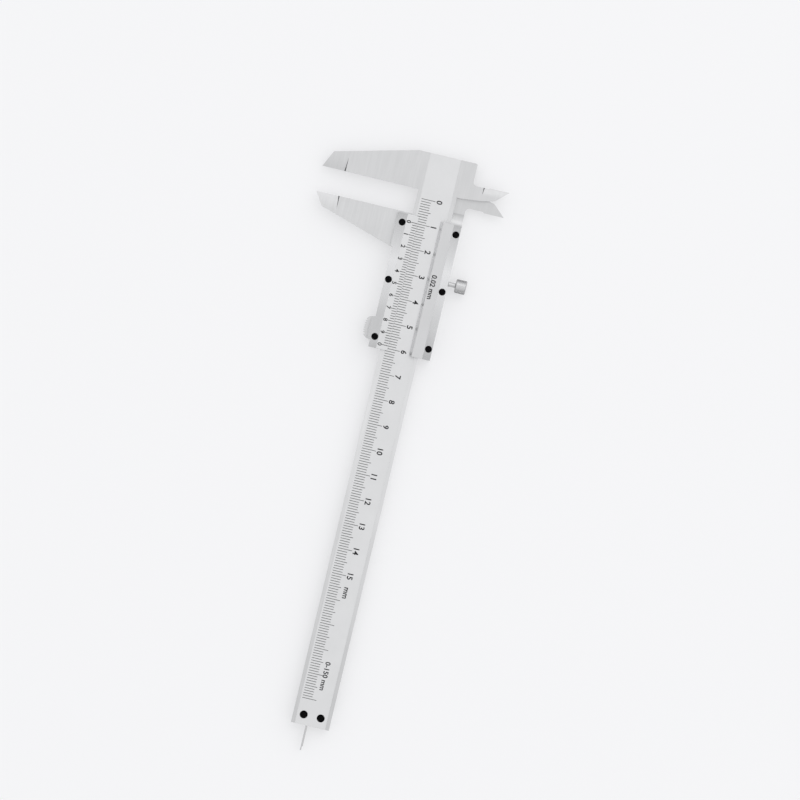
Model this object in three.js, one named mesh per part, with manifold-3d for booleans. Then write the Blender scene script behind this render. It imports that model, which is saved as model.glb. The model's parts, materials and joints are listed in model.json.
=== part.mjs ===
// Vernier caliper, 0 to 150 mm, with an open two-plate slider.
//
// Millimetres, +Z up. The caliper lies on its back with the graduated face up.
// It is modelled with X = 0 at the measuring face of the fixed outer jaw and +X towards
// the tail, Y = 0 on the centre line of the beam with the inner jaws towards +Y, and
// Z = 0 on the plane it lies on. The last lines move the origin to the middle of its foot.

import * as THREE from 'three';
import { mergeVertices } from 'three/addons/utils/BufferGeometryUtils.js';
import Module from 'manifold-3d';

// ---------------------------------------------------------------- driving dimensions

// Fits
const RUNNING = 0.05; // between faces that slide on each other
const SEAT = 0.02; // between pieces that are screwed or pressed together
const PAST = 1; // how far a cutter runs past what it cuts

// Measuring
const OPENING = 10; // the reading the caliper is set to
const RANGE = 150; // the largest reading
const OVERTRAVEL = 1.5; // slide left between that reading and the tail stop

// Beam, in one piece with its two fixed jaws
const BEAM_WIDTH = 15.2;
const BEAM_THICKNESS = 3.5;
const RAIL_WIDTH = 1.5; // each ground rail beside the scale band
const BAND_DEPTH = 0.15; // the scale band lies this far below the rails
const HEAD_LENGTH = 14.7; // from the measuring face to the end of the head
const HEAD_SIDE = 5.1; // how far the head stands past the beam beside the inner jaw
const HEAD_LIP = 1.1; // full thickness left at the end of the head
const HEAD_CORNER = 0.6; // rounding of its outer corner

// Outer jaws
const OUTER_REACH = 38.6; // from the beam's edge to the tip
const FIXED_ROOT = 3.2; // straight end of the head before the jaw tapers
const FIXED_TIP = 6.5; // width across the fixed jaw behind its end cut
const MOVING_ROOT = 14.3; // width of the moving jaw where it meets the slider
const MOVING_TIP = 5.2; // width across the moving jaw behind its end cut
const END_CUT = 3.2; // the slanted ends run back this far from the tips
const KNIFE_LENGTH = 9.7; // the thinned stretch at each tip
const KNIFE_WIDTH = 5.5; // how far its bevel runs in from the measuring face
const KNIFE_EDGE = 0.8; // thickness left at the measuring face
const RUN_OUT = 0.9; // curved run-out of the grinding wheel

// Inner jaws, which pass each other, the fixed one in front
const INNER_REACH = 19.8; // from the beam's edge to the tip
const INNER_EDGE = 6.6; // the knife edges lie this far ahead of the outer faces
const INNER_WIDTH = 4.4; // across each jaw where its end cut begins
const INNER_END_CUT = 4.7;
const INNER_LAP = 0.1; // gap between the two jaws
const INNER_LAND = 0.35; // thickness left at each knife edge
const INNER_BEVEL = 3.3;
const INNER_KNIFE = 10.6; // length of the bevelled stretch
const INNER_RELIEF = 0.4; // the edge is set back behind the last stretch
const INNER_CONTACT = 7.9; // length of that last stretch
const INNER_FILLET = 1.8; // where each jaw leaves the head or the arm
const INNER_SPREAD = 1.3; // the jaws widen by this much below their knife stretch
const INNER_BEND = 1.5; // rounding where they widen
const INNER_ROOT = 2; // straight side of the fixed jaw above the beam
const ARM_SIDE = 4.6; // the moving jaw's arm stands this far past the beam
const ARM_SCOOP = 0.5; // depth of the polished hollow in the arm
const ARM_SCOOP_LENGTH = 4.2;
const ARM_GAP = 0.15; // between the arm and the beam

// Slider frame
const SLIDER_LENGTH = 54.4;
const BACK_THICKNESS = 2;
const LOWER_WALL = 4.65;
const UPPER_WALL = 3.7;
const SPRING_SPACE = 1; // between the beam's upper edge and the upper wall
const SPRING_LIP = 1.5; // the wall closes on the beam again at both ends
const SHOULDER = 0.8; // the frame is wider where the moving jaw starts
const PLAN_CORNER = 0.4; // rounding of the slider's corners
const THUMB_LENGTH = 9.2;
const THUMB_HEIGHT = 3.4;
const THUMB_FROM_REAR = 7.4; // middle of the thumb rest to the slider's rear end
const THUMB_SERRATIONS = 7;
const THUMB_SERRATED = 6.4; // length that the serrations take up
const THUMB_ROUND = 3.2; // rounding of the thumb rest's corners
const THUMB_FALL = 1.4; // how far the serrations follow that rounding
const THUMB_BASE = 0.4; // above the slider's back
const THUMB_PLATE = 1.3; // the vernier plate covers this much of the thumb rest
const THUMB_PLATE_ROUND = 0.9;

// Plates that close the front of the slider
const PLATE_THICKNESS = 2;
const PLATE_SETBACK = 0.6; // behind the moving jaw's measuring face
const STRIP_WIDTH = 3.1; // polished strip that takes the screws
const STRIP_STEP = 0.1; // step from the strip to the satin surface
const VERNIER_REACH = 2.8; // how far the vernier edge covers the beam
const VERNIER_LIP = 0.15;
const GUIDE_REACH = 3.6; // how far the guide plate covers the beam
const GUIDE_LIP = 0.2;
const GUIDE_CHAMFER = 1;
const GUIDE_SLOPE = 0.3;

// Plate screws and tail screws
const SCREW_RADIUS = 1; // thread
const PLATE_SCREW_HEAD = 1.35; // head radius
const PLATE_SCREW_LENGTH = 4.6;
const PLATE_SCREW_INSET = 4.3; // end screws, from each end of the slider
const PLATE_SCREW_COUNT = 3;
const TAIL_SCREW_HEAD = 1.55;
const TAIL_SCREW_LENGTH = 4.9;
const TAIL_SCREW_SPACING = 6.8;
const HEAD_RIM = 0.12; // straight rim above the countersink
const SCREW_POINT = 0.2; // chamfer at the end of the thread
const SLOT_WIDTH = 0.45;
const SLOT_DEPTH = 0.45;

// Tail stop
const TAIL_STOP_LENGTH = 8;
const TAIL_CORNER = 0.8;

// Depth rod and the two screws that hold it
const ROD_WIDTH = 0.8;
const ROD_THICKNESS = 1.1;
const ROD_OFFSET = 1.3; // from the beam's centre line, towards the outer jaws
const ROD_TAB_LENGTH = 11;
const ROD_TAB_WIDTH = 4;
const ROD_TAB_THICKNESS = 0.8;
const ROD_TAB_FROM_REAR = 3.4; // end of the tab to the slider's rear end
const ROD_SCREW_RADIUS = 0.7;
const ROD_SCREW_HEAD = 1.2;
const ROD_SCREW_INSET = 2.6; // from each end of the tab
const ROD_NIB = 1.6; // relieved length at the rod's end
const ROD_NIB_WIDTH = 0.5;
const ROD_JOGGLE = 2; // where the tab turns into the rod
const GROOVE_LEAD = 5; // the groove starts this far ahead of the rod's joggle

// Leaf spring and the two set screws that load its ends
const SPRING_THICKNESS = 0.3;
const SPRING_WIDTH = 2.6;
const SPRING_STEPS = 24;
const GIB_SCREW_RADIUS = 1;
const GIB_SCREW_INSET = 10; // from each end of the slider
const GIB_SCREW_SINK = 0.4; // below the slider's side
const GIB_SLOT_WIDTH = 0.35;
const GIB_SLOT_DEPTH = 0.5;
const GIB_POINT = 0.4; // chamfer at the point of each set screw

// Clamp screw: a knurled knob pressed on a stud
const CLAMP_LEAD = 3.7; // ahead of the middle plate screw, from axis to axis
const STUD_RADIUS = 1.25; // thread
const STUD_POINT = 0.35; // chamfer at the stud's tip
const THREAD_SHOWS = 0.5; // length of thread outside the slider
const SHANK_RADIUS = 0.95;
const KNOB_RADIUS = 2.75;
const KNOB_LENGTH = 4.3;
const KNOB_STANDOFF = 2.9; // between the slider and the knob
const KNOB_BORE_DEPTH = 3.2;
const KNOB_CHAMFER = 0.3;
const KNURL_DEPTH = 0.2;
const KNURL_COUNT = 30;

// ---------------------------------------------------------------- derived places

const HALF = BEAM_WIDTH / 2;
const Z_BACK = BACK_THICKNESS + RUNNING; // the beam's back
const Z_FACE = Z_BACK + BEAM_THICKNESS; // the beam's rails
const Z_BAND = Z_FACE - BAND_DEPTH;
const Z_MIDDLE = (Z_BACK + Z_FACE) / 2;
const Z_WALL = Z_FACE + RUNNING; // top of the slider's walls
const Z_PLATE = Z_WALL + SEAT; // underside of the plates
const Z_TOP = Z_PLATE + PLATE_THICKNESS;

const TAIL_STOP_X = RANGE + OVERTRAVEL + SLIDER_LENGTH;
const TAIL_X = TAIL_STOP_X + TAIL_STOP_LENGTH;

const LOWER_SIDE = -(HALF + RUNNING + LOWER_WALL); // outside of the slider's lower wall
const UPPER_SIDE = HALF + SPRING_SPACE + UPPER_WALL;
const OUTER_TIP = -(HALF + OUTER_REACH);
const INNER_TIP = HALF + INNER_REACH;

const THUMB_X = SLIDER_LENGTH - THUMB_FROM_REAR;
const ROD_TAB_REAR = SLIDER_LENGTH - ROD_TAB_FROM_REAR;
const ROD_TAB_FRONT = ROD_TAB_REAR - ROD_TAB_LENGTH;
const ROD_LOW = Z_BACK + 2 * RUNNING;
const ROD_HIGH = ROD_LOW + ROD_THICKNESS;
const GROOVE_TOP = ROD_HIGH + 2 * RUNNING;

// ---------------------------------------------------------------- solids

const wasm = await Module();
wasm.setup();

const X_AXIS = new THREE.Vector3(1, 0, 0);
const Y_AXIS = new THREE.Vector3(0, 1, 0);
const Z_AXIS = new THREE.Vector3(0, 0, 1);
const CURVE_STEPS = 6;
const ROUND_SIDES = 28;
const SCOOP_SIDES = 160;

// A closed three.js geometry as a solid for cutting and joining.
function solid(geometry) {
  const bare = geometry.index ? geometry.toNonIndexed() : geometry.clone();
  bare.deleteAttribute('normal');
  bare.deleteAttribute('uv');
  const merged = mergeVertices(bare);
  return new wasm.Manifold(
    new wasm.Mesh({
      numProp: 3,
      vertProperties: merged.attributes.position.array,
      triVerts: new Uint32Array(merged.index.array),
    }),
  );
}

// A solid as a named mesh with a flat-shaded geometry.
function mesh(name, made, material) {
  const raw = made.getMesh();
  const geometry = new THREE.BufferGeometry();
  geometry.setAttribute('position', new THREE.BufferAttribute(raw.vertProperties, 3));
  geometry.setIndex(new THREE.BufferAttribute(raw.triVerts, 1));
  const flat = geometry.toNonIndexed();
  flat.computeVertexNormals();
  const piece = new THREE.Mesh(flat, material);
  piece.name = name;
  return piece;
}

// An outline through corners [u, v] or [u, v, cut], where cut is how far from the corner
// the rounding starts.
function outline(corners) {
  const shape = new THREE.Shape();
  corners.forEach(([u, v, cut = 0], i) => {
    const here = new THREE.Vector2(u, v);
    const before = new THREE.Vector2(...corners.at(i - 1).slice(0, 2));
    const after = new THREE.Vector2(...corners[(i + 1) % corners.length].slice(0, 2));
    const start = before.sub(here).setLength(cut).add(here);
    const end = after.sub(here).setLength(cut).add(here);
    if (i === 0) shape.moveTo(start.x, start.y);
    else shape.lineTo(start.x, start.y);
    if (cut) shape.quadraticCurveTo(u, v, end.x, end.y);
  });
  return shape;
}

// A prism along an axis. Its outline is given as [x, y] along z, [y, z] along x and
// [x, z] along y.
function prism(axis, corners, from, to) {
  const swapped = axis === 'y' ? corners.map(([x, z, cut]) => [z, x, cut]) : corners;
  const geometry = new THREE.ExtrudeGeometry(outline(swapped), {
    depth: to - from,
    bevelEnabled: false,
    curveSegments: CURVE_STEPS,
  });
  geometry.translate(0, 0, from);
  const turn = new THREE.Matrix4();
  if (axis === 'x') turn.makeBasis(Y_AXIS, Z_AXIS, X_AXIS);
  if (axis === 'y') turn.makeBasis(Z_AXIS, X_AXIS, Y_AXIS);
  return solid(geometry.applyMatrix4(turn));
}

function block([x0, x1], [y0, y1], [z0, z1]) {
  const geometry = new THREE.BoxGeometry(x1 - x0, y1 - y0, z1 - z0);
  return solid(geometry.translate((x0 + x1) / 2, (y0 + y1) / 2, (z0 + z1) / 2));
}

// A round solid about an axis through [x, y, z], from a profile of [radius, height] that
// starts and ends at radius 0.
function turned(axis, profile, [x, y, z], sides = ROUND_SIDES) {
  const points = profile.map(([radius, height]) => new THREE.Vector2(radius, height));
  const geometry = new THREE.LatheGeometry(points, sides);
  if (axis === 'z') geometry.rotateX(Math.PI / 2);
  return solid(geometry.translate(x, y, z));
}

// A plain round solid about an axis through the given centre.
function drum(axis, radius, centre, from, to, sides) {
  return turned(axis, [[0, from], [radius, from], [radius, to], [0, to]], centre, sides);
}

// ---------------------------------------------------------------- cutters

// The grinding cut that thins a jaw. In the x-z plane it is a wedge between the corners
// given; along y it runs from the step to past the tip and ends there in a curve.
function grind(wedge, stepY, tipY, [low, high]) {
  const away = Math.sign(tipY - stepY);
  const curved = prism(
    'x',
    [
      [stepY, high],
      [tipY + away * PAST, high],
      [tipY + away * PAST, low],
      [stepY + away * RUN_OUT, low, RUN_OUT],
    ],
    -1.5 * HEAD_LENGTH,
    MOVING_ROOT,
  );
  const [y0, y1] = [Math.min(stepY, tipY), Math.max(stepY, tipY)];
  return prism('y', wedge, y0 - PAST, y1 + PAST).intersect(curved);
}

// Both bevels of an outer jaw's knife stretch. The jaw lies on the given side of x = 0.
function outerKnife(side) {
  const stepY = OUTER_TIP + KNIFE_LENGTH;
  const slope = (BEAM_THICKNESS - KNIFE_EDGE) / 2 / KNIFE_WIDTH;
  return [1, -1].map((face) => {
    const surface = Z_MIDDLE + (face * BEAM_THICKNESS) / 2;
    const wedge = [
      [side * KNIFE_WIDTH, surface],
      [-side * PAST, surface - face * slope * (KNIFE_WIDTH + PAST)],
      [-side * PAST, surface + face * PAST],
      [side * KNIFE_WIDTH, surface + face * PAST],
    ];
    const depth = face * (BEAM_THICKNESS / 2);
    return grind(wedge, stepY, OUTER_TIP, [surface - depth, surface + face * PAST]);
  });
}

// The bevel of an inner jaw. The fixed jaw lies behind its edge (side 1) and is bevelled
// on the front (face 1); the moving jaw lies ahead of it and is bevelled on the back.
function innerKnife(side, face) {
  const stepY = INNER_TIP - INNER_KNIFE;
  const surface = Z_MIDDLE + (face * BEAM_THICKNESS) / 2;
  const land = Z_MIDDLE + face * (INNER_LAP / 2 + INNER_LAND);
  const slope = (land - surface) / INNER_BEVEL;
  const wedge = [
    [-INNER_EDGE + side * INNER_BEVEL, surface],
    [-INNER_EDGE - side * PAST, surface + slope * (INNER_BEVEL + PAST)],
    [-INNER_EDGE - side * PAST, surface + face * PAST],
    [-INNER_EDGE + side * INNER_BEVEL, surface + face * PAST],
  ];
  return grind(wedge, stepY, INNER_TIP, [Z_MIDDLE, surface + face * PAST]);
}

// The free outline of an inner jaw from its root round its tip. The fixed jaw's body lies
// on side 1 of its edge, the moving jaw's on side -1.
function innerJawCorners(side, rootY) {
  const edge = -INNER_EDGE;
  const contactY = INNER_TIP - INNER_CONTACT;
  return [
    [edge + side * INNER_RELIEF, rootY, INNER_FILLET],
    [edge + side * INNER_RELIEF, contactY - INNER_RELIEF],
    [edge, contactY],
    [edge, INNER_TIP],
    [edge + side * INNER_WIDTH, INNER_TIP - INNER_END_CUT],
    [edge + side * (INNER_WIDTH + INNER_SPREAD), contactY - 2 * RUN_OUT, INNER_BEND],
  ];
}

// A slotted countersunk screw with its head's top at z = 0.
function screwSolid(head, radius, length) {
  const cone = head - radius;
  const profile = [
    [0, -length],
    [radius - SCREW_POINT, -length],
    [radius, -length + SCREW_POINT],
    [radius, -HEAD_RIM - cone],
    [head, -HEAD_RIM],
    [head, 0],
    [0, 0],
  ];
  const slot = block(
    [-head - PAST, head + PAST],
    [-SLOT_WIDTH / 2, SLOT_WIDTH / 2],
    [-SLOT_DEPTH, PAST],
  );
  return turned('z', profile, [0, 0, 0]).subtract(slot);
}

// The seat of that screw, with its head's top at the given place and its length downwards.
function screwSeat(head, radius, length, [x, y, z]) {
  const wide = head + SEAT;
  const narrow = radius + SEAT;
  const cone = wide - narrow;
  const profile = [
    [0, -length - SEAT],
    [narrow, -length - SEAT],
    [narrow, -HEAD_RIM - SEAT - cone],
    [wide, -HEAD_RIM - SEAT],
    [wide, PAST],
    [0, PAST],
  ];
  return turned('z', profile, [x, y, z]);
}

function cut(body, cutters) {
  return cutters.reduce((left, cutter) => left.subtract(cutter), body);
}

// ---------------------------------------------------------------- fastener places

const STRIP_Y = { lower: LOWER_SIDE + STRIP_WIDTH / 2, upper: UPPER_SIDE - STRIP_WIDTH / 2 };
const PLATE_SCREW_PITCH = (SLIDER_LENGTH - 2 * PLATE_SCREW_INSET) / (PLATE_SCREW_COUNT - 1);
const PLATE_SCREW_X = Array.from(
  { length: PLATE_SCREW_COUNT },
  (_, i) => PLATE_SCREW_INSET + i * PLATE_SCREW_PITCH,
);
const CLAMP_X = PLATE_SCREW_X[Math.floor(PLATE_SCREW_COUNT / 2)] - CLAMP_LEAD;
const GIB_SCREW_X = { front: GIB_SCREW_INSET, rear: SLIDER_LENGTH - GIB_SCREW_INSET };
const TAIL_SCREW_X = TAIL_STOP_X + TAIL_STOP_LENGTH / 2;
const TAIL_SCREW_Y = { lower: -TAIL_SCREW_SPACING / 2, upper: TAIL_SCREW_SPACING / 2 };
const ROD_SCREW_X = [ROD_TAB_FRONT + ROD_SCREW_INSET, ROD_TAB_REAR - ROD_JOGGLE - ROD_SCREW_INSET];
const ROD_SCREW_LENGTH = Z_BACK - RUNNING - 2 * SEAT;

function plateScrewSeats(side) {
  return PLATE_SCREW_X.map((x) =>
    screwSeat(PLATE_SCREW_HEAD, SCREW_RADIUS, PLATE_SCREW_LENGTH, [x, STRIP_Y[side], Z_TOP]),
  );
}

// ---------------------------------------------------------------- beam pieces

function beamSolid() {
  const inner = innerJawCorners(1, HALF + HEAD_SIDE);
  const plan = prism(
    'z',
    [
      [TAIL_X, -HALF],
      [0, -HALF],
      [0, OUTER_TIP],
      [-FIXED_TIP, OUTER_TIP + END_CUT],
      [-HEAD_LENGTH, -HALF - FIXED_ROOT],
      [-HEAD_LENGTH, HALF + HEAD_SIDE, HEAD_CORNER],
      ...inner,
      [0, HALF + INNER_ROOT],
      [0, HALF],
      [TAIL_X, HALF],
    ],
    Z_BACK,
    Z_FACE,
  );
  const bandSide = HALF - RAIL_WIDTH;
  const band = block([-HEAD_LENGTH - PAST, TAIL_X + PAST], [-bandSide, bandSide], [Z_BAND, Z_FACE + PAST]);
  const behindInnerJaw = block(
    [HEAD_LIP - HEAD_LENGTH, PAST],
    [HALF, INNER_TIP + PAST],
    [Z_BACK - PAST, Z_MIDDLE + INNER_LAP / 2],
  );
  const groove = block(
    [ROD_TAB_REAR - ROD_JOGGLE - GROOVE_LEAD, TAIL_X + PAST],
    [-ROD_OFFSET - ROD_WIDTH / 2 - 2 * RUNNING, -ROD_OFFSET + ROD_WIDTH / 2 + 2 * RUNNING],
    [Z_BACK - PAST, GROOVE_TOP],
  );
  const seats = Object.values(TAIL_SCREW_Y).map((y) =>
    screwSeat(TAIL_SCREW_HEAD, SCREW_RADIUS, TAIL_SCREW_LENGTH, [TAIL_SCREW_X, y, Z_BAND]),
  );
  return cut(plan, [band, behindInnerJaw, groove, ...seats, ...outerKnife(-1), innerKnife(1, 1)]);
}

function tailStopSolid() {
  const body = prism(
    'z',
    [
      [TAIL_STOP_X, -HALF],
      [TAIL_X, -HALF, TAIL_CORNER],
      [TAIL_X, HALF, TAIL_CORNER],
      [TAIL_STOP_X, HALF],
    ],
    0,
    Z_BACK - SEAT,
  );
  const seats = Object.values(TAIL_SCREW_Y).map((y) =>
    screwSeat(TAIL_SCREW_HEAD, SCREW_RADIUS, TAIL_SCREW_LENGTH, [TAIL_SCREW_X, y, Z_BAND]),
  );
  return cut(body, seats);
}

// ---------------------------------------------------------------- slider pieces

// The moving outer jaw, the arm and moving inner jaw, and the channel the beam runs in.
function frameSolid() {
  const jaw = prism(
    'z',
    [
      [0, LOWER_SIDE + PAST],
      [0, OUTER_TIP],
      [MOVING_TIP, OUTER_TIP + END_CUT],
      [MOVING_ROOT, LOWER_SIDE - SHOULDER],
      [MOVING_ROOT, LOWER_SIDE + PAST],
    ],
    Z_BACK,
    Z_FACE,
  );
  const armLow = HALF + ARM_GAP;
  const arm = prism(
    'z',
    [
      [PAST, armLow],
      [PAST, HALF + ARM_SIDE],
      ...innerJawCorners(-1, HALF + ARM_SIDE),
      [-INNER_EDGE - INNER_WIDTH - INNER_SPREAD - INNER_RELIEF, armLow],
    ],
    Z_BACK,
    Z_MIDDLE - INNER_LAP / 2,
  );
  const scoopRadius = (ARM_SCOOP_LENGTH ** 2 / 4 + ARM_SCOOP ** 2) / (2 * ARM_SCOOP);
  const scoop = drum(
    'y',
    scoopRadius,
    [-ARM_SCOOP_LENGTH / 2, 0, Z_MIDDLE - INNER_LAP / 2 + scoopRadius - ARM_SCOOP],
    HALF,
    HALF + ARM_SIDE + PAST,
    SCOOP_SIDES,
  );
  const scoopZone = block(
    [-ARM_SCOOP_LENGTH, 0],
    [HALF, HALF + ARM_SIDE + PAST],
    [Z_MIDDLE - INNER_LAP / 2 - ARM_SCOOP - PAST, Z_MIDDLE + PAST],
  );

  const body = prism(
    'z',
    [
      [0, LOWER_SIDE - SHOULDER],
      [MOVING_ROOT, LOWER_SIDE - SHOULDER, PLAN_CORNER],
      [MOVING_ROOT, LOWER_SIDE],
      [SLIDER_LENGTH, LOWER_SIDE],
      [SLIDER_LENGTH, UPPER_SIDE],
      [0, UPPER_SIDE],
    ],
    0,
    Z_WALL,
  );
  const channel = block(
    [-PAST, SLIDER_LENGTH + PAST],
    [-HALF - RUNNING, HALF + RUNNING],
    [BACK_THICKNESS, Z_TOP],
  );
  const springPocket = block(
    [SPRING_LIP, SLIDER_LENGTH - SPRING_LIP],
    [HALF, HALF + SPRING_SPACE],
    [BACK_THICKNESS, Z_TOP],
  );
  const clampHole = drum('y', STUD_RADIUS + SEAT, [CLAMP_X, 0, Z_MIDDLE], HALF, UPPER_SIDE + PAST);
  const gibHoles = Object.values(GIB_SCREW_X).map((x) =>
    drum('y', GIB_SCREW_RADIUS + SEAT, [x, 0, Z_MIDDLE], HALF, UPPER_SIDE + PAST),
  );
  const tabPocket = block(
    [ROD_TAB_FRONT - SEAT, ROD_TAB_REAR + SEAT],
    [-ROD_OFFSET - ROD_TAB_WIDTH / 2 - SEAT, -ROD_OFFSET + ROD_TAB_WIDTH / 2 + SEAT],
    [BACK_THICKNESS - ROD_TAB_THICKNESS - SEAT, BACK_THICKNESS + PAST],
  );
  return cut(body.add(thumbRestSolid()).add(jaw).add(arm.subtract(scoop.intersect(scoopZone))), [
    channel,
    springPocket,
    clampHole,
    ...gibHoles,
    tabPocket,
    ...plateScrewSeats('lower'),
    ...plateScrewSeats('upper'),
    ...rodScrewSeats(),
    ...outerKnife(1),
    innerKnife(-1, -1),
  ]);
}

// A rounded lug with serrations across it, for the thumb.
function thumbRestSolid() {
  const half = THUMB_LENGTH / 2;
  const lug = prism(
    'z',
    [
      [THUMB_X - half, LOWER_SIDE + PAST],
      [THUMB_X + half, LOWER_SIDE + PAST],
      [THUMB_X + half, LOWER_SIDE - THUMB_HEIGHT, THUMB_ROUND],
      [THUMB_X - half, LOWER_SIDE - THUMB_HEIGHT, THUMB_ROUND],
    ],
    THUMB_BASE,
    Z_WALL,
  );
  const pitch = THUMB_SERRATED / THUMB_SERRATIONS;
  const depth = pitch / 2;
  const notches = Array.from({ length: THUMB_SERRATIONS }, (_, i) => {
    const x = THUMB_X + (i - (THUMB_SERRATIONS - 1) / 2) * pitch;
    const y = LOWER_SIDE - THUMB_HEIGHT + ((x - THUMB_X) / half) ** 2 * THUMB_FALL;
    const notch = [
      [x, y + depth],
      [x - depth, y - depth],
      [x + depth, y - depth],
    ];
    return prism('z', notch, -PAST, Z_TOP);
  });
  return cut(lug, notches);
}

function rodScrewSeats() {
  return ROD_SCREW_X.map((x) => {
    const seat = screwSeat(ROD_SCREW_HEAD, ROD_SCREW_RADIUS, ROD_SCREW_LENGTH, [0, 0, 0]);
    return seat.rotate([180, 0, 0]).translate([x, -ROD_OFFSET, SEAT]);
  });
}

function vernierPlateSolid() {
  const half = THUMB_LENGTH / 2;
  const stripEdge = LOWER_SIDE + STRIP_WIDTH;
  const strip = prism(
    'z',
    [
      [PLATE_SETBACK, LOWER_SIDE - SHOULDER],
      [MOVING_ROOT, LOWER_SIDE - SHOULDER, PLAN_CORNER],
      [MOVING_ROOT, LOWER_SIDE],
      [THUMB_X - half, LOWER_SIDE],
      [THUMB_X - half, LOWER_SIDE - THUMB_PLATE, THUMB_PLATE_ROUND],
      [THUMB_X + half, LOWER_SIDE - THUMB_PLATE, THUMB_PLATE_ROUND],
      [THUMB_X + half, LOWER_SIDE],
      [SLIDER_LENGTH, LOWER_SIDE],
      [SLIDER_LENGTH, stripEdge],
      [PLATE_SETBACK, stripEdge],
    ],
    Z_PLATE,
    Z_TOP,
  );
  const edge = -HALF + VERNIER_REACH;
  const bevel = prism(
    'x',
    [
      [stripEdge - PAST, Z_PLATE],
      [edge, Z_PLATE],
      [edge, Z_PLATE + VERNIER_LIP],
      [stripEdge, Z_TOP - STRIP_STEP],
      [stripEdge - PAST, Z_TOP - STRIP_STEP],
    ],
    PLATE_SETBACK,
    SLIDER_LENGTH,
  );
  return cut(strip.add(bevel), plateScrewSeats('lower'));
}

function guidePlateSolid() {
  const stripEdge = UPPER_SIDE - STRIP_WIDTH;
  const edge = HALF - GUIDE_REACH;
  const body = prism(
    'x',
    [
      [UPPER_SIDE, Z_PLATE],
      [UPPER_SIDE, Z_TOP],
      [stripEdge, Z_TOP],
      [stripEdge, Z_TOP - STRIP_STEP],
      [edge + GUIDE_CHAMFER, Z_TOP - STRIP_STEP - GUIDE_SLOPE],
      [edge, Z_PLATE + GUIDE_LIP],
      [edge, Z_PLATE],
    ],
    PLATE_SETBACK,
    SLIDER_LENGTH,
  );
  return cut(body, plateScrewSeats('upper'));
}

// The inner face of the bowed leaf spring, which nears the beam at its ends.
const SPRING_FRONT = SPRING_LIP + 2 * RUNNING;
const SPRING_REAR = SLIDER_LENGTH - SPRING_FRONT;
const SPRING_BOW = SPRING_SPACE - SPRING_THICKNESS - 3 * RUNNING;

function springInside(x) {
  const along = (x - SPRING_FRONT) / (SPRING_REAR - SPRING_FRONT);
  return HALF + RUNNING + SPRING_BOW * Math.sin(Math.PI * along);
}

function leafSpringSolid() {
  const step = (SPRING_REAR - SPRING_FRONT) / SPRING_STEPS;
  const places = Array.from({ length: SPRING_STEPS + 1 }, (_, i) => SPRING_FRONT + i * step);
  const near = places.map((x) => [x, springInside(x)]);
  const far = places.map((x) => [x, springInside(x) + SPRING_THICKNESS]).reverse();
  return prism('z', [...near, ...far], Z_MIDDLE - SPRING_WIDTH / 2, Z_MIDDLE + SPRING_WIDTH / 2);
}

// A headless slotted set screw at x, with its point on the spring.
function gibScrewSolid(x) {
  const touches = Math.max(springInside(x - GIB_SCREW_RADIUS), springInside(x + GIB_SCREW_RADIUS));
  const point = touches + SPRING_THICKNESS + RUNNING;
  const top = UPPER_SIDE - GIB_SCREW_SINK;
  const profile = [
    [0, point],
    [GIB_SCREW_RADIUS - GIB_POINT, point],
    [GIB_SCREW_RADIUS, point + GIB_POINT],
    [GIB_SCREW_RADIUS, top],
    [0, top],
  ];
  const slot = block(
    [-GIB_SCREW_RADIUS - PAST, GIB_SCREW_RADIUS + PAST],
    [top - GIB_SLOT_DEPTH, top + PAST],
    [-GIB_SLOT_WIDTH / 2, GIB_SLOT_WIDTH / 2],
  );
  return turned('y', profile, [0, 0, 0]).subtract(slot);
}

// A flat tab held in the frame, a joggle up into the groove and the square rod.
function depthRodSolid() {
  const tabLow = BACK_THICKNESS - ROD_TAB_THICKNESS;
  const [side0, side1] = [-ROD_OFFSET - ROD_WIDTH / 2, -ROD_OFFSET + ROD_WIDTH / 2];
  const tab = block(
    [ROD_TAB_FRONT, ROD_TAB_REAR],
    [-ROD_OFFSET - ROD_TAB_WIDTH / 2, -ROD_OFFSET + ROD_TAB_WIDTH / 2],
    [tabLow, BACK_THICKNESS],
  );
  const joggle = block([ROD_TAB_REAR - ROD_JOGGLE, ROD_TAB_REAR], [side0, side1], [tabLow, ROD_HIGH]);
  const rod = block([ROD_TAB_REAR - ROD_JOGGLE, TAIL_X], [side0, side1], [ROD_LOW, ROD_HIGH]);
  const relief = block(
    [TAIL_X - ROD_NIB, TAIL_X + PAST],
    [side0 + ROD_NIB_WIDTH, side1 + PAST],
    [ROD_LOW - PAST, ROD_HIGH + PAST],
  );
  return cut(tab.add(joggle).add(rod), [relief, ...rodScrewSeats()]);
}

// ---------------------------------------------------------------- clamp screw pieces

const STUD_TIP = HALF + SPRING_SPACE - RUNNING;
const KNOB_Y = UPPER_SIDE + KNOB_STANDOFF;

function studSolid() {
  const profile = [
    [0, STUD_TIP],
    [STUD_RADIUS - STUD_POINT, STUD_TIP],
    [STUD_RADIUS, STUD_TIP + STUD_POINT],
    [STUD_RADIUS, UPPER_SIDE + THREAD_SHOWS],
    [SHANK_RADIUS, UPPER_SIDE + THREAD_SHOWS + STUD_RADIUS - SHANK_RADIUS],
    [SHANK_RADIUS, KNOB_Y + KNOB_BORE_DEPTH - SEAT],
    [0, KNOB_Y + KNOB_BORE_DEPTH - SEAT],
  ];
  return turned('y', profile, [0, 0, 0]);
}

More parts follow.
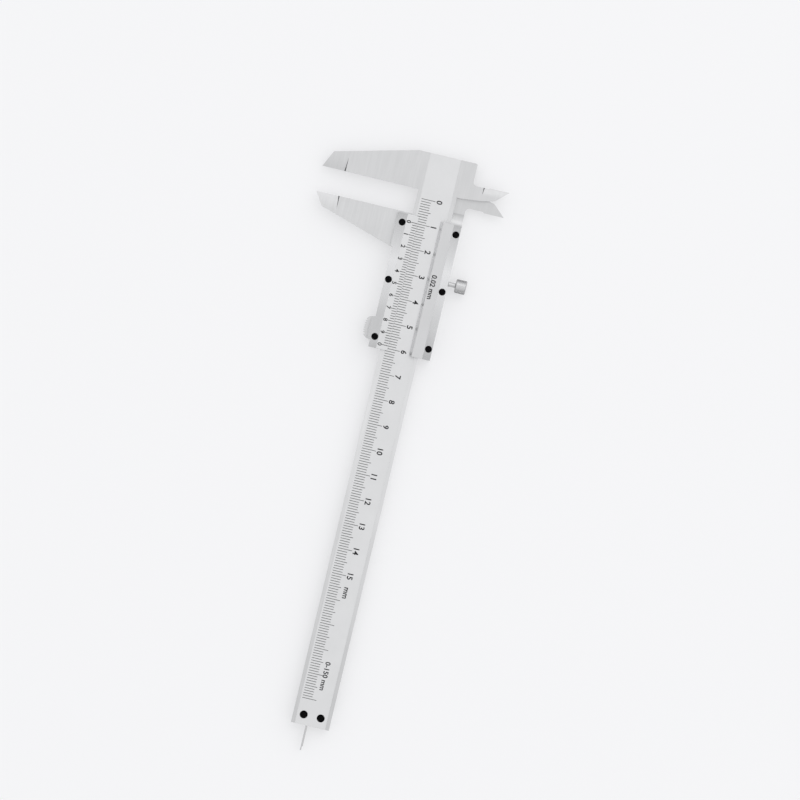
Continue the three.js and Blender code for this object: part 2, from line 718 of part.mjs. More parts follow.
function knobSolid() {
  const teeth = Array.from({ length: 2 * KNURL_COUNT }, (_, i) => {
    const radius = KNOB_RADIUS - (i % 2) * KNURL_DEPTH;
    const angle = (i * Math.PI) / KNURL_COUNT;
    return [radius * Math.cos(angle), radius * Math.sin(angle)];
  });
  const ridged = prism('y', teeth, KNOB_Y, KNOB_Y + KNOB_LENGTH);
  const turnedBlank = turned(
    'y',
    [
      [0, KNOB_Y],
      [KNOB_RADIUS - KNOB_CHAMFER, KNOB_Y],
      [KNOB_RADIUS + SEAT, KNOB_Y + KNOB_CHAMFER],
      [KNOB_RADIUS + SEAT, KNOB_Y + KNOB_LENGTH - KNOB_CHAMFER],
      [KNOB_RADIUS - KNOB_CHAMFER, KNOB_Y + KNOB_LENGTH],
      [0, KNOB_Y + KNOB_LENGTH],
    ],
    [0, 0, 0],
  );
  const bore = drum('y', SHANK_RADIUS + SEAT, [0, 0, 0], KNOB_Y - PAST, KNOB_Y + KNOB_BORE_DEPTH);
  return ridged.intersect(turnedBlank).subtract(bore);
}

// ---------------------------------------------------------------- materials

function metal(colour, roughness) {
  return new THREE.MeshStandardMaterial({ color: colour, roughness, metalness: 1 });
}

const groundSteel = metal(0xc9cacb, 0.35);
const satinChrome = metal(0xdcdddd, 0.45);
const polishedSteel = metal(0xd2d3d5, 0.15);
const blackedSteel = metal(0x17171a, 0.4);
const springBronze = metal(0xb98a4e, 0.35);

// ---------------------------------------------------------------- assembly

const caliper = new THREE.Group();

const beam = new THREE.Group();
beam.add(mesh('main_beam', beamSolid(), groundSteel));
beam.add(mesh('tail_stop', tailStopSolid(), groundSteel));
for (const [side, y] of Object.entries(TAIL_SCREW_Y)) {
  const screw = mesh(
    `tail_screw_${side}`,
    screwSolid(TAIL_SCREW_HEAD, SCREW_RADIUS, TAIL_SCREW_LENGTH),
    blackedSteel,
  );
  screw.position.set(TAIL_SCREW_X, y, Z_BAND);
  beam.add(screw);
}
caliper.add(beam);

const slider = new THREE.Group();
slider.position.x = OPENING;
slider.add(mesh('slider_frame', frameSolid(), groundSteel));
slider.add(mesh('vernier_plate', vernierPlateSolid(), satinChrome));
slider.add(mesh('guide_plate', guidePlateSolid(), satinChrome));
for (const [side, y] of Object.entries(STRIP_Y)) {
  PLATE_SCREW_X.forEach((x, i) => {
    const screw = mesh(
      `plate_screw_${side}_${i + 1}`,
      screwSolid(PLATE_SCREW_HEAD, SCREW_RADIUS, PLATE_SCREW_LENGTH),
      blackedSteel,
    );
    screw.position.set(x, y, Z_TOP);
    slider.add(screw);
  });
}
slider.add(mesh('leaf_spring', leafSpringSolid(), springBronze));
for (const [end, x] of Object.entries(GIB_SCREW_X)) {
  const screw = mesh(`gib_screw_${end}`, gibScrewSolid(x), blackedSteel);
  screw.position.set(x, 0, Z_MIDDLE);
  slider.add(screw);
}
slider.add(mesh('depth_rod', depthRodSolid(), polishedSteel));
ROD_SCREW_X.forEach((x, i) => {
  const screw = mesh(
    `rod_screw_${i + 1}`,
    screwSolid(ROD_SCREW_HEAD, ROD_SCREW_RADIUS, ROD_SCREW_LENGTH),
    polishedSteel,
  );
  screw.position.set(x, -ROD_OFFSET, SEAT);
  screw.rotation.x = Math.PI;
  slider.add(screw);
});

const clamp = new THREE.Group();
clamp.position.set(CLAMP_X, 0, Z_MIDDLE);
clamp.add(mesh('clamp_stud', studSolid(), polishedSteel));
clamp.add(mesh('clamp_knob', knobSolid(), polishedSteel));
slider.add(clamp);
caliper.add(slider);

// The origin goes to the middle of the caliper's foot.
caliper.updateMatrixWorld(true);
const extent = new THREE.Box3().setFromObject(caliper);
const middle = extent.getCenter(new THREE.Vector3());
caliper.position.set(-middle.x, -middle.y, -extent.min.z);

export default caliper;
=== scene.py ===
"""A vernier caliper with an open two-plate slider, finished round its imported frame.

The caliper lies on its back with the graduated face up. +X runs along the beam from the head
to the tail, and +Y points towards the inner jaws. Every size is in metres.
"""

import json
from math import atan2, cos, hypot, pi, radians

import bpy
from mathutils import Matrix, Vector

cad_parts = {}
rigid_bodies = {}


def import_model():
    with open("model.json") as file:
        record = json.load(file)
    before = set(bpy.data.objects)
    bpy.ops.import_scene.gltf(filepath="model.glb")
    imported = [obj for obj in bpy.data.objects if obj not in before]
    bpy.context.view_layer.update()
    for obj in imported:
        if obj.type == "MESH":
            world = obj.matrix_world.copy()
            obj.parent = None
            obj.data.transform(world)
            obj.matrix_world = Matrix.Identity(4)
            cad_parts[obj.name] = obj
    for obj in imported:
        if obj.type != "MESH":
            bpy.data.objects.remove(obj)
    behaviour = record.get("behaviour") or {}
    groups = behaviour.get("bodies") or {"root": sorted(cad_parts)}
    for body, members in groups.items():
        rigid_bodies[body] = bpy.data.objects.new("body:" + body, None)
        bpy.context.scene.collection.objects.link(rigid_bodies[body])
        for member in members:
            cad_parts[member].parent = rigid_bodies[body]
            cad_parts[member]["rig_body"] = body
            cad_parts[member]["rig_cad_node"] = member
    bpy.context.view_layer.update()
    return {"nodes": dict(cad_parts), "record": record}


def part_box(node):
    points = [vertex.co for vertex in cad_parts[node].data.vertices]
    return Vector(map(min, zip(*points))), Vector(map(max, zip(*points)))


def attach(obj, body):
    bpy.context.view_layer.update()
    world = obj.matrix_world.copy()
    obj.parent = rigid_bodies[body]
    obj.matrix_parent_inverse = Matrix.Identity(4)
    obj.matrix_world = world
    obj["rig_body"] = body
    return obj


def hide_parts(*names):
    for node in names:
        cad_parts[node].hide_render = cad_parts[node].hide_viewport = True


bl_info = {
    "name": "Vernier Caliper",
    "version": (1, 0, 0),
    "blender": (4, 5, 0),
    "location": "3D View > Sidebar > Caliper",
    "description": "Builds a vernier caliper piece by piece round its packed frame",
    "category": "Add Mesh",
}

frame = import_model()

MM = 0.001

# ---------------------------------------------------------------- places taken from the frame

MOUNTS = {mount["name"]: Vector(mount["pos_m"]) for mount in frame["record"]["mounts"]}
ZERO_X = MOUNTS["fixed_outer_face"].x  # measuring face of the fixed outer jaw
SLIDER_X = MOUNTS["moving_outer_face"].x  # measuring face of the moving outer jaw
CENTRE_Y = MOUNTS["head_back"].y  # centre line of the beam
BEAM_LOW, BEAM_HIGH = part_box("main_beam")
VERNIER_LOW, VERNIER_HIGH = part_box("vernier_plate")
GUIDE_LOW, GUIDE_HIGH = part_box("guide_plate")
SLIDER_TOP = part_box("slider_frame")[1].z
WALL_Y = GUIDE_HIGH.y  # outside of the slider's upper wall
RAIL_Z = BEAM_HIGH.z  # ground rails beside the scale band
BAND_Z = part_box("tail_screw_lower")[1].z  # scale band
BEAM_HALF = 7.6 * MM  # half the beam's width
NEAR = 0.01 * MM  # two heights this close are the same

PLATE_SCREWS = [f"plate_screw_{side}_{i}" for side in ("lower", "upper") for i in (1, 2, 3)]
TAIL_SCREWS = ["tail_screw_lower", "tail_screw_upper"]
ROD_SCREWS = ["rod_screw_1", "rod_screw_2"]
GIB_SCREWS = ["gib_screw_front", "gib_screw_rear"]


def middle(node):
    low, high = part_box(node)
    return (low + high) / 2


# ---------------------------------------------------------------- fixed sizes

WELD = 0.0001 * MM  # vertices this close are one
CAD_WELD = 0.002 * MM  # the same, on a copy of a CAD node
JAW_ROOT = 9 * MM  # measuring faces start this far from the beam's centre line
INNER_KNIFE = 19 * MM  # the inner jaws' edges lie past this
RUN_OUT_OUTER = (8.5 * MM, 12 * MM)  # steps of the outer jaws, from their tips
RUN_OUT_INNER = (9 * MM, 11.2 * MM)  # step of the inner jaw, from its tip

BEAM_RANGE = 200 * MM  # length of the beam's scale
UNIT_AT = 156.6 * MM  # middle of the unit, from the zero mark
UNIT_SHARE = 0.66  # of the numbers' height
RANGE_AT = 190 * MM  # middle of the measuring range, from the zero mark
RANGE_BASE = 0.2 * MM
RANGE_SHARE = 0.9
VERNIER_EDGE = 0.15 * MM  # plain steel along the vernier's edge
RESOLUTION_AT = 26.3 * MM  # middle of the resolution, from the moving outer face
RESOLUTION_BASE = 0.45 * MM  # and its foot, from the chamfer
RESOLUTION_SHARE = 0.49  # of the satin surface's width

SCREW_SHANK = 1 * MM
ROD_SCREW_SHANK = 0.7 * MM
SCREW_POINT = 0.2 * MM  # chamfer at a screw's end
SCREW_RIM = 0.12 * MM  # straight side of a countersunk head
HEAD_CHAMFER = 0.12 * MM
HEAD_FALL = 0.04 * MM
HEAD_BREAK = 0.03 * MM
PLATE_TURNS = [0.4, 1.9, 2.7, 1.1, 0.2, 2.2, 0.8, 2.4]  # slot angles, as left by the fitter
ROD_TURNS = [0.7, 2.0]

GIB_POINT = 0.4 * MM  # taper of a set screw's point
GIB_POINT_REACH = 0.35 * MM
GIB_THREAD = 0.1 * MM
GIB_PITCH = 0.4 * MM
GIB_SLOT = 0.35 * MM

STUD_SHANK = 0.95 * MM
STUD_POINT = 0.35 * MM  # taper of the stud's point
THREAD_SHOWS = 0.45 * MM  # thread outside the slider's wall

KNOB_BORE = 0.97 * MM
KNOB_BORE_REACH = 3.2 * MM
KNOB_COLLAR = 0.35 * MM  # plain ring at each end of the knurl
KNOB_CHAMFER = 0.3 * MM
KNOB_CHAMFER_REACH = 0.25 * MM
KNOB_DISH = 0.12 * MM  # recess in the knob's end

LENS = 200.0
VIEW_WIDTH = 312 * MM
VIEW_AHEAD = 81.9 * MM  # middle of the view, from the fixed outer face
VIEW_ASIDE = 4.58 * MM  # and from the beam's centre line
VIEW_TURN = 90 + 13.46  # degrees
FLOOR_SIZE = 6
KEY_PLACE = (-1.1, 0.7, 1.2)
KEY_SIZE = 1.6
KEY_POWER = 3.0


# ---------------------------------------------------------------- sizes and colours


def length(name, description, default):
    return bpy.props.FloatProperty(
        name=name, description=description, default=default, min=0, precision=6, unit="LENGTH"
    )


def colour(name, description, default):
    return bpy.props.FloatVectorProperty(
        name=name, description=description, default=default, subtype="COLOR", size=3, min=0, max=1
    )


class CaliperSizes(bpy.types.PropertyGroup):
    """Sizes of what is marked, cut and broken on the caliper's surfaces"""

    edge_break: length("Edge break", "Width of the chamfer on every ground edge", 0.09 * MM)
    plate_break: length("Plate edge break", "Width of the chamfer on the plates' edges", 0.14 * MM)
    ink_height: length("Ink height", "How far the filled marks stand proud", 0.008 * MM)
    ink_root: length("Ink root", "How far the filled marks reach into the steel", 0.03 * MM)
    mark_width: length("Mark width", "Width of each mark on the beam", 0.2 * MM)
    scale_start: length("Scale start", "Zero mark, from the fixed outer face", 3.5 * MM)
    mark_foot: length("Mark foot", "Foot of the beam's marks, from the centre line", 5.5 * MM)
    short_mark: length("Millimetre mark", "Length of each 1 mm mark", 3.9 * MM)
    middle_mark: length("5 mm mark", "Length of each 5 mm mark", 4.8 * MM)
    long_mark: length("10 mm mark", "Length of each 10 mm mark", 5.6 * MM)
    number_height: length("Number height", "Height of the beam's numbers", 2.3 * MM)
    number_base: length("Number base", "Foot of the numbers, from the centre line", 0.5 * MM)
    vernier_width: length("Vernier mark width", "Width of each vernier mark", 0.22 * MM)
    vernier_mark: length("Vernier mark", "Length of each vernier mark", 1.9 * MM)
    vernier_long: length("Long vernier mark", "Length of each numbered vernier mark", 2.5 * MM)
    vernier_pitch: length("Vernier pitch", "Between vernier marks: 49 mm over 50", 0.98 * MM)
    vernier_number: length("Vernier number height", "Height of the vernier's numbers", 1.8 * MM)
    vernier_lip: length("Vernier lip", "Thickness of the vernier plate's thin edge", 0.15 * MM)
    strip_width: length("Screw strip", "Width of each polished screw strip", 3.1 * MM)
    strip_step: length("Strip step", "Step from the strip to the satin surface", 0.1 * MM)
    guide_slope: length("Guide slope", "Fall of the guide plate's satin surface", 0.3 * MM)
    guide_chamfer: length("Guide chamfer", "Width of the guide plate's inner chamfer", 1 * MM)
    slot_width: length("Slot width", "Width of each screwdriver slot", 0.45 * MM)
    slot_depth: length("Slot depth", "Depth of each screwdriver slot", 0.42 * MM)
    thread_depth: length("Thread depth", "Depth of the clamp screw's thread", 0.2 * MM)
    thread_pitch: length("Thread pitch", "Pitch of the clamp screw's thread", 0.45 * MM)
    knurl_depth: length("Knurl depth", "Depth of the clamp knob's diamond knurl", 0.2 * MM)
    knurl_columns: bpy.props.IntProperty(
        name="Knurl columns", description="Points round the clamp knob", default=56, min=8
    )
    knurl_rows: bpy.props.IntProperty(
        name="Knurl rows", description="Points along the clamp knob", default=15, min=2
    )


class CaliperColours(bpy.types.PropertyGroup):
    """Colours of the caliper's finishes"""

    ground: colour("Ground steel", "Surface-ground jaws, beam and frame", (0.65, 0.65, 0.653))
    satin: colour("Satin chrome", "Glare-free scale band and vernier", (0.735, 0.735, 0.738))
    matt: colour("Matt chrome", "Duller band on the guide plate", (0.66, 0.66, 0.664))
    lapped: colour("Lapped steel", "Measuring faces and bevels", (0.68, 0.68, 0.685))
    polished: colour("Polished steel", "Screw strips, clamp screw and rod", (0.74, 0.74, 0.745))
    blacked: colour("Blacked steel", "Blacked screws", (0.003, 0.003, 0.0035))
    rubbed: colour("Rubbed edge", "Steel that shows where blacking has worn", (0.07, 0.06, 0.053))
    ink: colour("Ink", "Filled graduations and numbers", (0.006, 0.006, 0.007))
    bronze: colour("Bronze", "Leaf spring", (0.56, 0.34, 0.14))
    floor: colour("Floor", "The table under the caliper", (0.47, 0.47, 0.475))


# ---------------------------------------------------------------- shader node groups


def wire(tree, source, target):
    tree.links.new(source, target)


def start_group(name, inputs, outputs):
    """A new node group with float inputs (name: default) and outputs (name: socket type)."""
    tree = bpy.data.node_groups.new(name, "ShaderNodeTree")
    for label, default in inputs.items():
        socket = tree.interface.new_socket(name=label, in_out="INPUT", socket_type="NodeSocketFloat")
        socket.default_value = default
    for label, kind in outputs.items():
        tree.interface.new_socket(name=label, in_out="OUTPUT", socket_type=kind)
    return tree, tree.nodes.new("NodeGroupInput"), tree.nodes.new("NodeGroupOutput")


def calculate(tree, operation, first, second):
    """A math node. Each term is a number or a socket."""
    node = tree.nodes.new("ShaderNodeMath")
    node.operation = operation
    for socket, term in zip(node.inputs, (first, second)):
        if isinstance(term, (int, float)):
            socket.default_value = term
        else:
            wire(tree, term, socket)
    return node.outputs[0]


def object_noise(tree, along, across, detail=3.0, roughness=0.6, down=None):
    """Noise on Object coordinates with its own scale along X, along Y and down Z."""
    place = tree.nodes.new("ShaderNodeTexCoord")
    scale = tree.nodes.new("ShaderNodeCombineXYZ")
    for axis, term in zip(("X", "Y", "Z"), (along, across, across if down is None else down)):
        if isinstance(term, (int, float)):
            scale.inputs[axis].default_value = term
        else:
            wire(tree, term, scale.inputs[axis])
    stretch = tree.nodes.new("ShaderNodeVectorMath")
    stretch.operation = "MULTIPLY"
    wire(tree, place.outputs["Object"], stretch.inputs[0])
    wire(tree, scale.outputs[0], stretch.inputs[1])
    noise = tree.nodes.new("ShaderNodeTexNoise")
    noise.inputs["Scale"].default_value = 1
    noise.inputs["Detail"].default_value = detail
    noise.inputs["Roughness"].default_value = roughness
    wire(tree, stretch.outputs[0], noise.inputs["Vector"])
    return noise.outputs["Fac"]


def between(tree, value, low, high, new_low=0.0, new_high=1.0):
    """value from low to high mapped to new_low to new_high, held inside them."""
    node = tree.nodes.new("ShaderNodeMapRange")
    wire(tree, value, node.inputs["Value"])
    ends = {"From Min": low, "From Max": high, "To Min": new_low, "To Max": new_high}
    for name, term in ends.items():
        if isinstance(term, (int, float)):
            node.inputs[name].default_value = term
        else:
            wire(tree, term, node.inputs[name])
    return node.outputs["Result"]


def make_grain_group():
    """Fine grinding lines and broader bands along X, or along Z on faces that look along X."""
    tree, given, made = start_group(
        "Grinding Grain",
        {"Along": 90.0, "Across": 5200.0},
        {"Lines": "NodeSocketFloat", "Bands": "NodeSocketFloat"},
    )
    surface = tree.nodes.new("ShaderNodeNewGeometry")
    facing = tree.nodes.new("ShaderNodeSeparateXYZ")
    wire(tree, surface.outputs["True Normal"], facing.inputs[0])
    side = calculate(tree, "ABSOLUTE", facing.outputs["Y"], 0.0)
    side = calculate(tree, "GREATER_THAN", side, 0.7)
    along = given.outputs["Along"]
    across = given.outputs["Across"]
    down = between(tree, side, 0.0, 1.0, along, across)
    fine = object_noise(tree, along, across, 4, down=down)
    wide_across = calculate(tree, "MULTIPLY", across, 0.22)
    wide_down = between(tree, side, 0.0, 1.0, along, wide_across)
    wide = object_noise(tree, along, wide_across, 2, down=wide_down)
    wire(tree, between(tree, fine, 0.3, 0.7), made.inputs["Lines"])
    wire(tree, between(tree, wide, 0.32, 0.68), made.inputs["Bands"])
    return tree


def make_blast_group():
    """The even, fine mottle of a glare-free satin surface."""
    tree, given, made = start_group(
        "Satin Mottle",
        {"Size": 7000.0},
        {"Grit": "NodeSocketFloat", "Cloud": "NodeSocketFloat"},
    )
    fine = object_noise(tree, given.outputs["Size"], given.outputs["Size"], 5, 0.7)
    broad = calculate(tree, "MULTIPLY", given.outputs["Size"], 0.02)
    cloud = object_noise(tree, broad, broad, 3)
    wire(tree, between(tree, fine, 0.3, 0.7), made.inputs["Grit"])
    wire(tree, between(tree, cloud, 0.3, 0.7), made.inputs["Cloud"])
    return tree


def make_wear_group():
    """How near a sharp edge the surface is, broken up as handling wears it."""
    tree, given, made = start_group(
        "Edge Wear", {"Reach": 0.16 * MM, "Broken": 900.0}, {"Edge": "NodeSocketFloat"}
    )
    rounded = tree.nodes.new("ShaderNodeBevel")
    rounded.samples = 4
    wire(tree, given.outputs["Reach"], rounded.inputs["Radius"])
    surface = tree.nodes.new("ShaderNodeNewGeometry")
    turn = tree.nodes.new("ShaderNodeVectorMath")
    turn.operation = "DOT_PRODUCT"
    wire(tree, rounded.outputs["Normal"], turn.inputs[0])
    wire(tree, surface.outputs["Normal"], turn.inputs[1])
    sharp = between(tree, turn.outputs["Value"], 0.995, 0.9)
    patchy = object_noise(tree, given.outputs["Broken"], given.outputs["Broken"], 3)
    wire(
        tree,
        calculate(tree, "MULTIPLY", sharp, between(tree, patchy, 0.35, 0.6, 0.35, 1.0)),
        made.inputs["Edge"],
    )
    return tree


def make_handling_group():
    """Faint smears from handling, and sparse hairline scratches."""
    tree, given, made = start_group(
        "Handling",
        {"Smear Size": 60.0, "Scratch Size": 420.0},
        {"Smear": "NodeSocketFloat", "Scratch": "NodeSocketFloat"},
    )
    smear = object_noise(tree, given.outputs["Smear Size"], given.outputs["Smear Size"], 4)
    wire(tree, between(tree, smear, 0.48, 0.72), made.inputs["Smear"])
    place = tree.nodes.new("ShaderNodeTexCoord")
    lean = tree.nodes.new("ShaderNodeMapping")
    lean.inputs["Rotation"].default_value = (0, 0, radians(31))
    lean.inputs["Scale"].default_value = (0.06, 1, 1)
    wire(tree, place.outputs["Object"], lean.inputs["Vector"])
    cells = tree.nodes.new("ShaderNodeTexVoronoi")
    cells.feature = "DISTANCE_TO_EDGE"
    wire(tree, lean.outputs["Vector"], cells.inputs["Vector"])
    wire(tree, given.outputs["Scratch Size"], cells.inputs["Scale"])
    hairline = between(tree, cells.outputs["Distance"], 0.0, 0.012, 1.0, 0.0)
    sparse = between(tree, object_noise(tree, 150.0, 150.0, 1), 0.55, 0.62)
    wire(tree, calculate(tree, "MULTIPLY", hairline, sparse), made.inputs["Scratch"])
    return tree


def make_shade_group():
    """Mask for a painted shade: how far along X the surface is from a middle, 0 there and 1 at the
    reach on either side.
    """
    tree, given, made = start_group(
        "Painted Length Shade",
        {"Middle": 0.0, "Front Reach": 0.1, "Back Reach": 0.1},
        {"Shade": "NodeSocketFloat"},
    )
    place = tree.nodes.new("ShaderNodeTexCoord")
    axes = tree.nodes.new("ShaderNodeSeparateXYZ")
    wire(tree, place.outputs["Object"], axes.inputs[0])
    behind = calculate(tree, "SUBTRACT", axes.outputs["X"], given.outputs["Middle"])
    ahead = calculate(tree, "MULTIPLY", behind, -1.0)
    shares = [
        calculate(tree, "DIVIDE", behind, given.outputs["Back Reach"]),
        calculate(tree, "DIVIDE", ahead, given.outputs["Front Reach"]),
    ]
    share = calculate(tree, "MAXIMUM", *shares)
    drift = between(tree, object_noise(tree, 45.0, 20.0, 2), 0.3, 0.7, -0.1, 0.1)
    wire(tree, between(tree, calculate(tree, "ADD", share, drift), 0.0, 1.0), made.inputs["Shade"])
    return tree


# ---------------------------------------------------------------- materials


def start_material(name, metallic, roughness):
    material = bpy.data.materials.new(f"{name}_finish")
    material.use_nodes = True
    shader = material.node_tree.nodes["Principled BSDF"]
    shader.inputs["Metallic"].default_value = metallic
    shader.inputs["Roughness"].default_value = roughness
    return material, material.node_tree, shader


def place_group(tree, name, **values):
    node = tree.nodes.new("ShaderNodeGroup")
    node.node_tree = bpy.data.node_groups[name]
    for label, value in values.items():
        node.inputs[label.replace("_", " ")].default_value = value
    return node.outputs


def tinted(tree, factor, first, second, mode="MIX"):
    """A colour mix. Each colour is three numbers or a socket."""
    node = tree.nodes.new("ShaderNodeMix")
    node.data_type = "RGBA"
    node.blend_type = mode
    if isinstance(factor, (int, float)):
        node.inputs["Factor"].default_value = factor
    else:
        wire(tree, factor, node.inputs["Factor"])
    for socket, value in zip((node.inputs[6], node.inputs[7]), (first, second)):
        if isinstance(value, bpy.types.NodeSocket):
            wire(tree, value, socket)
        else:
            socket.default_value = (*value, 1)
    return node.outputs[2]


def scaled(base, share):
    return tuple(min(1, part * share) for part in base)


def bump(tree, shader, height, depth):
    node = tree.nodes.new("ShaderNodeBump")
    node.inputs["Distance"].default_value = depth
    node.inputs["Strength"].default_value = 1
    wire(tree, height, node.inputs["Height"])
    wire(tree, node.outputs["Normal"], shader.inputs["Normal"])


def grained_steel(name, base, roughness, across, contrast, depth, painted_shade=None):
    """Steel with a straight grinding grain, worn bright along its edges.

    The last argument is (middle, front reach, back reach, share): a painted shade that darkens the
    steel along X, away from the middle, to that share of its colour, standing in for the light's
    reflection falling off along the length.
    """
    material, tree, shader = start_material(name, 1.0, roughness)
    grain = place_group(tree, "Grinding Grain", Across=across)
    worn = place_group(tree, "Edge Wear")
    handled = place_group(tree, "Handling")
    lines = tinted(tree, grain["Lines"], scaled(base, 1 - contrast), scaled(base, 1 + contrast))
    milder = 0.7 * contrast
    bands = tinted(tree, grain["Bands"], scaled(base, 1 - milder), scaled(base, 1 + milder))
    steel = tinted(tree, 0.5, lines, bands)
    # painted shade: the steel darkens along X away from a middle, standing in for the studio light's
    # reflection falling off along the length
    if painted_shade:
        middle_x, front, back, share = painted_shade
        painted_shade_mask = place_group(
            tree, "Painted Length Shade", Middle=middle_x, Front_Reach=front, Back_Reach=back
        )
        painted_dark_steel = tinted(tree, 1.0, steel, (share,) * 3, "MULTIPLY")
        steel = tinted(tree, painted_shade_mask["Shade"], steel, painted_dark_steel)
    smear = calculate(tree, "MULTIPLY", handled["Smear"], 0.35)
    smeared = tinted(tree, smear, steel, scaled(base, 0.9))
    bare = calculate(tree, "MULTIPLY", worn["Edge"], 0.6)
    bright = tinted(tree, bare, smeared, scaled(base, 1.3))
    wire(tree, bright, shader.inputs["Base Color"])
    rough = between(tree, grain["Lines"], 0.0, 1.0, roughness * 0.8, roughness * 1.2)
    rough = calculate(tree, "ADD", rough, calculate(tree, "MULTIPLY", handled["Smear"], 0.06))
    rough = calculate(tree, "SUBTRACT", rough, calculate(tree, "MULTIPLY", worn["Edge"], 0.15))
    wire(tree, rough, shader.inputs["Roughness"])
    cut = calculate(tree, "MULTIPLY", handled["Scratch"], 1.5)
    bump(tree, shader, calculate(tree, "SUBTRACT", grain["Lines"], cut), depth)
    return material


def satin_chrome(name, base, roughness):
    """Glare-free chrome plate: a fine even mottle, rubbed smoother at the edges."""
    material, tree, shader = start_material(name, 1.0, roughness)
    mottle = place_group(tree, "Satin Mottle")
    worn = place_group(tree, "Edge Wear")
    handled = place_group(tree, "Handling")
    grit = tinted(tree, mottle["Grit"], scaled(base, 0.95), scaled(base, 1.05))
    cloud = tinted(tree, mottle["Cloud"], scaled(base, 0.97), scaled(base, 1.03))
    plate = tinted(tree, 0.5, grit, cloud)
    smear = calculate(tree, "MULTIPLY", handled["Smear"], 0.3)
    smeared = tinted(tree, smear, plate, scaled(base, 0.92))
    bare = calculate(tree, "MULTIPLY", worn["Edge"], 0.5)
    bright = tinted(tree, bare, smeared, scaled(base, 1.2))
    wire(tree, bright, shader.inputs["Base Color"])
    rough = between(tree, mottle["Grit"], 0.0, 1.0, roughness - 0.05, roughness + 0.05)
    rough = calculate(tree, "SUBTRACT", rough, calculate(tree, "MULTIPLY", worn["Edge"], 0.2))
    wire(tree, rough, shader.inputs["Roughness"])
    bump(tree, shader, mottle["Grit"], 0.004 * MM)
    return material


def blacked_steel(name, base, rubbed):
    """Blacked steel, rubbed through to brown and bare metal along its edges."""
    material, tree, shader = start_material(name, 0.9, 0.4)
    shader.inputs["Specular IOR Level"].default_value = 0.12
    mottle = place_group(tree, "Satin Mottle", Size=9000.0)
    worn = place_group(tree, "Edge Wear", Reach=0.1 * MM, Broken=2500.0)
    skin = tinted(tree, mottle["Grit"], scaled(base, 0.7), scaled(base, 1.6))
    wire(
        tree,
        tinted(tree, calculate(tree, "MULTIPLY", worn["Edge"], 0.55), skin, rubbed),
        shader.inputs["Base Color"],
    )
    wire(tree, between(tree, mottle["Cloud"], 0.0, 1.0, 0.34, 0.5), shader.inputs["Roughness"])
    bump(tree, shader, mottle["Grit"], 0.006 * MM)
    return material


def filled_ink(name, base):
    """Ink baked into the etched marks, thinner in places."""
    material, tree, shader = start_material(name, 0.0, 0.55)
    shader.inputs["Specular IOR Level"].default_value = 0.12
    mottle = place_group(tree, "Satin Mottle", Size=3200.0)
    thin = between(tree, mottle["Grit"], 0.55, 1.0)
    wire(tree, tinted(tree, thin, base, scaled(base, 9)), shader.inputs["Base Color"])
    wire(tree, between(tree, mottle["Cloud"], 0.0, 1.0, 0.45, 0.65), shader.inputs["Roughness"])
    bump(tree, shader, mottle["Grit"], 0.004 * MM)
    return material


def pale_floor(name, base):
    """A lit opal table top, so that only a faint shadow lies round the caliper."""
    material, tree, shader = start_material(name, 0.0, 0.85)
    shader.inputs["Emission Color"].default_value = (*base, 1)
    shader.inputs["Emission Strength"].default_value = 0.98
    soft = object_noise(tree, 6.0, 6.0, 2)
    cloud = tinted(tree, soft, scaled(base, 0.995), scaled(base, 1.005))
    wire(tree, cloud, shader.inputs["Base Color"])
    return material


# finish: (colour, share of it, roughness, grain lines across, contrast, depth)
GRAINED = {
    "ground": ("ground", 1.0, 0.36, 4200.0, 0.07, 0.005 * MM),
    # beam: ground steel brightened, with a painted reflection that darkens it toward head and tail
    "beam": ("ground", 1.12, 0.36, 4200.0, 0.07, 0.005 * MM),
    "arm": ("ground", 0.93, 0.36, 4200.0, 0.07, 0.005 * MM),
    # run_out_shade: ground steel darkened to near black, a painted shade on the steep steps where
    # the knife edges start
    "run_out_shade": ("ground", 0.15, 0.5, 4200.0, 0.3, 0.006 * MM),
    "rod": ("ground", 0.85, 0.3, 9000.0, 0.07, 0.002 * MM),
    # knob: polished steel darkened, a painted shade standing in for the dark reflections round the
    # knurled knob and stud
    "knob": ("polished", 0.78, 0.24, 9000.0, 0.06, 0.002 * MM),
    # chamfer: polished steel on the plates' chamfers, brightened a quarter as a painted highlight
    "chamfer": ("polished", 1.25, 0.3, 9000.0, 0.04, 0.002 * MM),
    # strip: polished strips with a painted reflection that darkens them toward their ends
    "strip": ("polished", 1.0, 0.2, 12000.0, 0.04, 0.0012 * MM),
    "lapped": ("lapped", 1.0, 0.26, 9000.0, 0.05, 0.002 * MM),
    "polished": ("polished", 1.0, 0.17, 12000.0, 0.04, 0.0012 * MM),
    "bronze": ("bronze", 1.0, 0.32, 7000.0, 0.08, 0.003 * MM),
}


def shade_along(low, high, front, share):
    """A painted shade that is brightest some way from low to high, and darkens to share at both
    ends.
    """
    length_x = high.x - low.x
    return low.x + front * length_x, front * length_x, (1 - front) * length_x, share


def make_materials(colours):
    make_grain_group()
    make_blast_group()
    make_wear_group()
    make_handling_group()
    make_shade_group()
    beam_length = BEAM_HIGH.x - BEAM_LOW.x
    # painted shade along X: the screw strips darken toward their ends and the beam toward its head
    # and tail, standing in for the studio light's reflection
    painted_shades = {
        "strip": shade_along(VERNIER_LOW, VERNIER_HIGH, 0.35, 0.62),
        "beam": (ZERO_X + 0.38 * beam_length, 0.63 * beam_length, 0.46 * beam_length, 0.8),
    }
    for name, (base, share, *surface) in GRAINED.items():
        grained_steel(name, scaled(getattr(colours, base), share), *surface, painted_shades.get(name))
    satin_chrome("satin", colours.satin, 0.5)
    satin_chrome("matt", colours.matt, 0.45)
    blacked_steel("blacked", colours.blacked, colours.rubbed)
    filled_ink("ink", colours.ink)
    pale_floor("floor", colours.floor)


# ---------------------------------------------------------------- ways of making a piece


